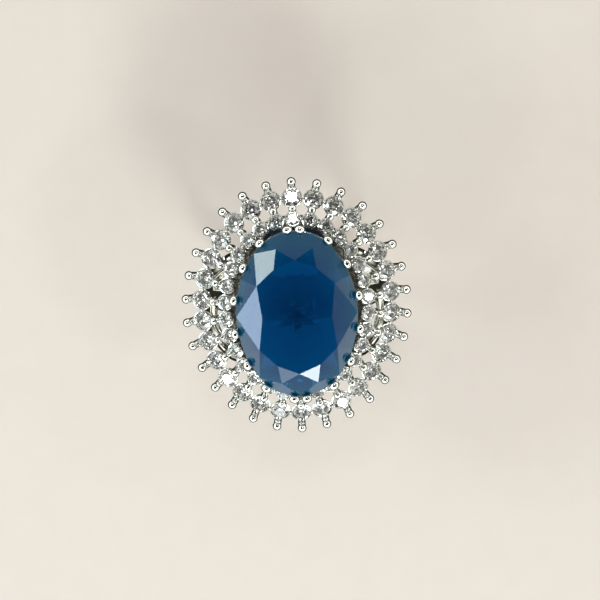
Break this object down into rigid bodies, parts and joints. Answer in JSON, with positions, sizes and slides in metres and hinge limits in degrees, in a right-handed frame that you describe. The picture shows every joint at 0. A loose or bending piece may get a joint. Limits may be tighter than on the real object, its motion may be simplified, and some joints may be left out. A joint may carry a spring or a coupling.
{
  "type": "cocktail ring",
  "caption": "Cocktail ring with a large oval faceted blue stone on claws above a domed double halo of round clear stones, on a plain band.",
  "frame": {"origin": "centre of the finger hole, halfway along the band's width", "axes": "+Y along the finger and the long axis of the oval stone, +Z from the finger hole out through the stone's table, +X across the finger"},
  "size_m": [0.0248, 0.0284, 0.0272],
  "materials": {
    "plated_metal": "polished rhodium-coloured plate",
    "blue_stone": "faceted and polished, deep blue",
    "clear_stones": "faceted and polished, clear"
  },
  "bodies": {
    "root": {"shank": "plated_metal", "shoulder_arm_1": "plated_metal", "shoulder_arm_2": "plated_metal", "shoulder_arm_3": "plated_metal", "shoulder_arm_4": "plated_metal", "gallery_plate": "plated_metal", "gallery_struts": "plated_metal", "centre_seat_rail": "plated_metal", "centre_claws_1": "plated_metal", "centre_claws_2": "plated_metal", "centre_claws_3": "plated_metal", "centre_claws_4": "plated_metal", "centre_stone": "blue_stone", "inner_cups": "plated_metal", "outer_cups": "plated_metal", "inner_beads": "plated_metal", "outer_beads": "plated_metal", "inner_prongs": "plated_metal", "outer_prongs": "plated_metal", "inner_stones_01": "clear_stones", "inner_stones_02": "clear_stones", "inner_stones_03": "clear_stones", "inner_stones_04": "clear_stones", "inner_stones_05": "clear_stones", "inner_stones_06": "clear_stones", "inner_stones_07": "clear_stones", "inner_stones_08": "clear_stones", "inner_stones_09": "clear_stones", "inner_stones_10": "clear_stones", "outer_stone_01": "clear_stones", "outer_stone_02": "clear_stones", "outer_stone_03": "clear_stones", "outer_stone_04": "clear_stones", "outer_stone_05": "clear_stones", "outer_stone_06": "clear_stones", "outer_stone_07": "clear_stones", "outer_stone_08": "clear_stones", "outer_stone_09": "clear_stones", "outer_stone_10": "clear_stones", "outer_stone_11": "clear_stones", "outer_stone_12": "clear_stones", "outer_stone_13": "clear_stones", "outer_stone_14": "clear_stones", "outer_stone_15": "clear_stones", "outer_stone_16": "clear_stones", "outer_stone_17": "clear_stones", "outer_stone_18": "clear_stones", "outer_stone_19": "clear_stones", "outer_stone_20": "clear_stones", "outer_stone_21": "clear_stones", "outer_stone_22": "clear_stones", "outer_stone_23": "clear_stones", "outer_stone_24": "clear_stones", "outer_stone_25": "clear_stones", "outer_stone_26": "clear_stones", "outer_stone_27": "clear_stones", "outer_stone_28": "clear_stones", "outer_stone_29": "clear_stones", "outer_stone_30": "clear_stones"}
  },
  "joints": []
}
